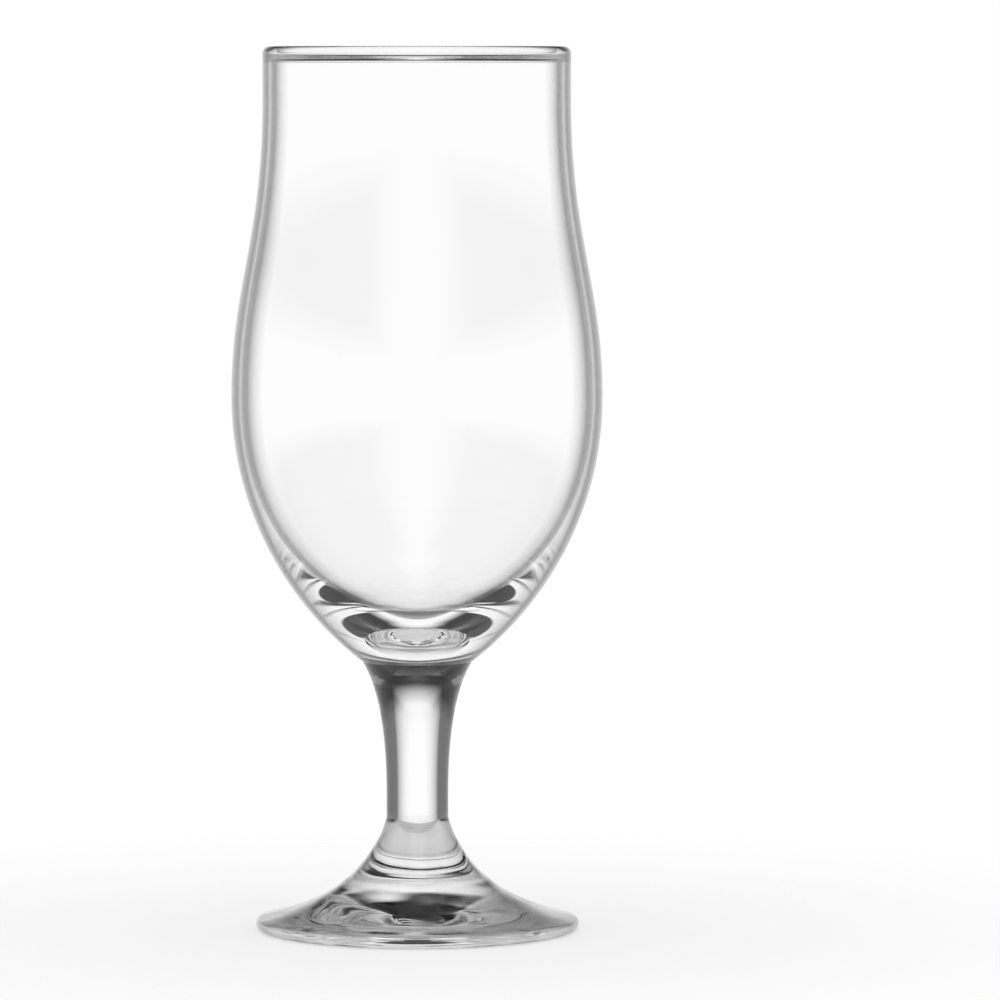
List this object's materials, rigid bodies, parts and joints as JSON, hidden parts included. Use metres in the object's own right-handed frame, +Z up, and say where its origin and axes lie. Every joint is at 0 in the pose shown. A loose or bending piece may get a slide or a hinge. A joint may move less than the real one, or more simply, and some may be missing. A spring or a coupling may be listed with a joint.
{
  "type": "beer glass",
  "caption": "Stemmed tulip-shaped beer glass: a swelling blown bowl with a rounded rim bead on a short flared stem and a round foot.",
  "frame": {"origin": "centre of the flat ring that the foot stands on", "axes": "+Z up along the axis of the glass, from the foot to the rim; X and Y are free, because the glass is round"},
  "size_m": [0.084, 0.084, 0.2],
  "materials": {
    "blown_glass": "clear, fire-polished",
    "drawn_glass": "clear, smooth with faint draw lines",
    "pressed_glass": "clear, faintly wavy from the mould"
  },
  "bodies": {
    "root": {"bowl": "blown_glass", "stem": "drawn_glass", "foot": "pressed_glass"}
  },
  "joints": []
}
